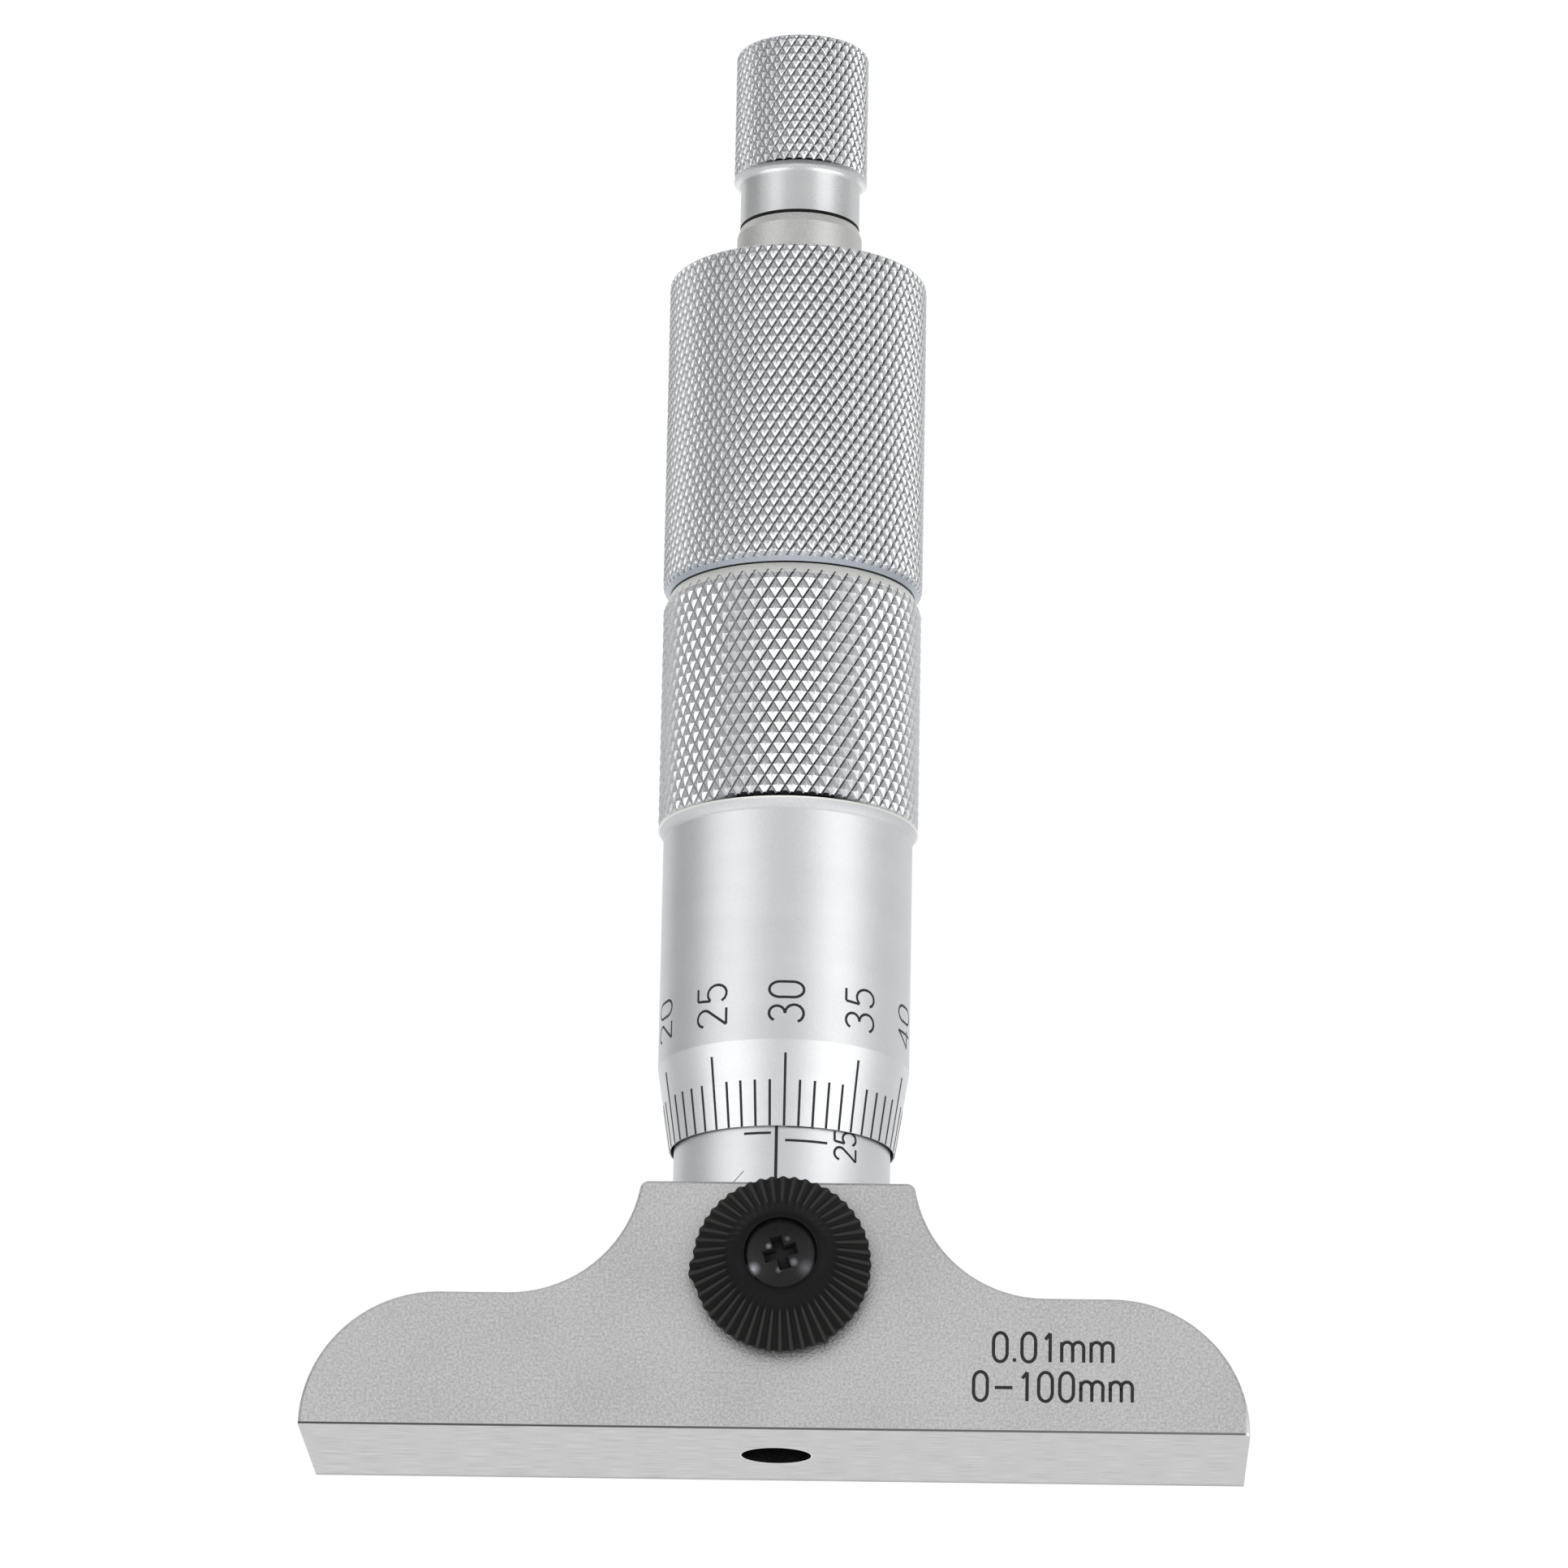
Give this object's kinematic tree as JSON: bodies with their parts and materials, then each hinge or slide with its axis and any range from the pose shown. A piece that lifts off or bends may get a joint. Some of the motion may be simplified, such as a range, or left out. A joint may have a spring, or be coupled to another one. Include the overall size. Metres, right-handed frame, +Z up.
{
  "type": "depth micrometer",
  "caption": "Depth micrometer head with graduated thimble, knurled cap and ratchet stop on a T-shaped base with a front clamp knob; takes interchangeable rods.",
  "frame": {"origin": "centre of the rod bore on the measuring face, the underside of the base", "axes": "+Z up the measuring screw, away from the work; -Y the front with the scales and the clamp knob; +X along the base to the right of a reader"},
  "size_m": [0.0636, 0.0216, 0.1016],
  "materials": {
    "base_steel": "satin, underside ground",
    "satin_chrome": "satin chrome plated",
    "knurled_chrome": "diamond knurled, satin chrome plated",
    "plain_steel": "machined",
    "spring_steel": "drawn wire",
    "brass": "turned",
    "black_plastic": "moulded, slight sheen",
    "black_steel": "black oxide"
  },
  "bodies": {
    "base": {"base_block": "base_steel", "inner_sleeve": "plain_steel", "adjusting_nut": "plain_steel"},
    "sleeve": {"graduated_sleeve": "satin_chrome"},
    "spindle": {"spindle": "plain_steel"},
    "thimble": {"thimble": "satin_chrome", "ring_nut": "plain_steel"},
    "rod_clamp": {"rod_pad": "plain_steel", "rod_spring": "spring_steel"},
    "cap": {"rod_cap": "knurled_chrome", "ratchet_collar": "satin_chrome", "ratchet_stud": "plain_steel"},
    "ratchet": {"ratchet_grip": "knurled_chrome", "ratchet_clutch": "plain_steel", "ratchet_spring": "spring_steel", "thrust_washer": "plain_steel"},
    "clamp_plug": {"clamp_pad": "brass"},
    "clamp": {"clamp_screw": "plain_steel", "clamp_knob": "black_plastic", "knob_screw": "black_steel"}
  },
  "joints": [
    {"name": "sleeve_zero", "type": "hinge", "parent": "base", "child": "sleeve", "pos_m": [0, 0, 0.03], "axis": [0, 0, 1], "range_deg": [-15, 15]},
    {"name": "spindle_feed", "type": "slide", "parent": "base", "child": "spindle", "axis": [0, 0, 1], "range_m": [-0.00071, 0.0243]},
    {"name": "thimble_turn", "type": "hinge", "parent": "spindle", "child": "thimble", "pos_m": [0, 0, 0.04], "axis": [0, 0, 1], "range_deg": [-508, 17493]},
    {"name": "cap_lift", "type": "slide", "parent": "thimble", "child": "rod_clamp", "axis": [0, 0, 1], "range_m": [0, 0.006]},
    {"name": "cap_turn", "type": "hinge", "parent": "rod_clamp", "child": "cap", "pos_m": [0, 0, 0.07], "axis": [0, 0, 1], "range_deg": [-1, 2881]},
    {"name": "ratchet_spin", "type": "hinge", "parent": "cap", "child": "ratchet", "pos_m": [0, 0, 0.095], "axis": [0, 0, 1], "continuous": true},
    {"name": "clamp_feed", "type": "slide", "parent": "base", "child": "clamp_plug", "axis": [0, 1, 0], "range_m": [-0.0005, 0.00045]},
    {"name": "clamp_turn", "type": "hinge", "parent": "clamp_plug", "child": "clamp", "pos_m": [0.0004, -0.008, 0.011], "axis": [0, 1, 0], "range_deg": [-361, 325]}
  ],
  "couplings": [
    {"joint": "thimble_turn", "follows": "spindle_feed", "rad_per_m": 12566},
    {"joint": "cap_turn", "follows": "cap_lift", "rad_per_m": 8377.6},
    {"joint": "clamp_turn", "follows": "clamp_feed", "rad_per_m": 12566}
  ]
}
